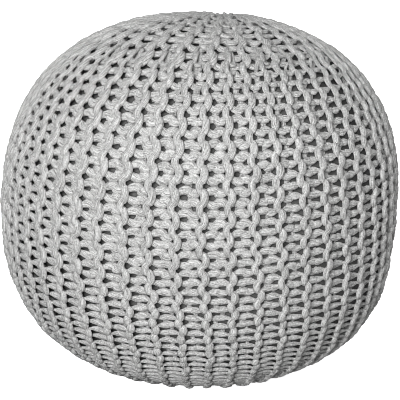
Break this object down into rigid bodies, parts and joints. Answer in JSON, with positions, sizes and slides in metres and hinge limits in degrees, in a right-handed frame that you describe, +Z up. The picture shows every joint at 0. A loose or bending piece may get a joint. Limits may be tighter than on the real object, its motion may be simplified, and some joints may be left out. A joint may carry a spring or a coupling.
{
  "type": "knitted pouf",
  "caption": "Round chunky-knit floor pouf in grey cotton cord, ribbed from gathered crown to flat foot, used as a soft stool or footrest.",
  "frame": {"origin": "middle of the flat foot, on the floor", "axes": "+Z up through the crown, front towards -Y"},
  "size_m": [0.4501, 0.45, 0.395],
  "materials": {
    "grey_cotton_yarn": "matt knitted cotton cord"
  },
  "bodies": {
    "root": {"knitted_pouf": "grey_cotton_yarn"}
  },
  "joints": []
}
